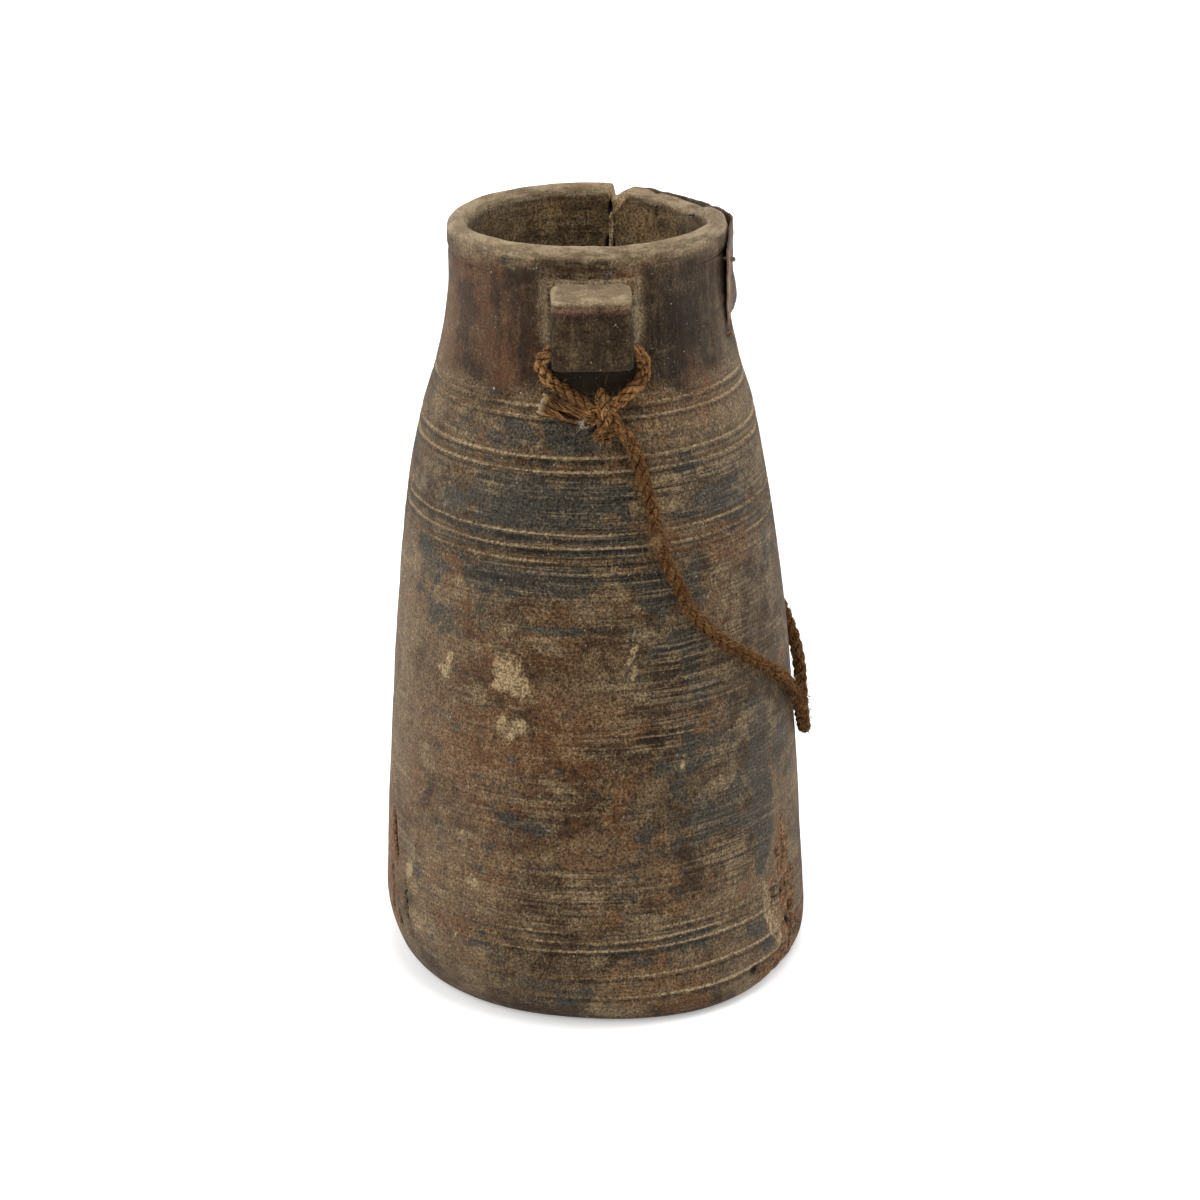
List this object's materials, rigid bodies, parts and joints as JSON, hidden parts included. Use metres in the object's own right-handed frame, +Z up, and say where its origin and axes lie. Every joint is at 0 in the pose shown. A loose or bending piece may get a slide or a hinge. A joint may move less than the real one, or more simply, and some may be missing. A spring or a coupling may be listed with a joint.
{
  "type": "wooden pot",
  "caption": "Tall carved wooden pot with a narrow neck, turned grooves, two bored lugs, a knotted rope handle and a nailed sheet-metal patch at the rim.",
  "frame": {"origin": "centre of the base, on the surface that the pot stands on", "axes": "+Z up along the pot's axis; the lug with the knotted front end of the rope faces -Y, and the rope handle hangs round the +X side"},
  "size_m": [0.2038, 0.2, 0.36],
  "materials": {
    "carved_wood": "worn dark patina",
    "rusty_sheet": "rusted thin sheet",
    "nail_iron": "rusted",
    "rope_fibre": "coarse hairy plant fibre"
  },
  "bodies": {
    "root": {"pot_body": "carved_wood", "repair_sheet": "rusty_sheet", "sheet_nail_through": "nail_iron", "sheet_nail_back_upper": "nail_iron", "sheet_nail_middle_lower": "nail_iron", "sheet_nail_back_lower": "nail_iron", "clenched_nail_upper": "nail_iron", "clenched_nail_lower": "nail_iron", "rope_handle": "rope_fibre", "rope_front_loop": "rope_fibre", "rope_front_knot": "rope_fibre", "rope_front_tail": "rope_fibre", "rope_rear_loop": "rope_fibre", "rope_rear_knot": "rope_fibre", "rope_rear_tail": "rope_fibre"}
  },
  "joints": []
}
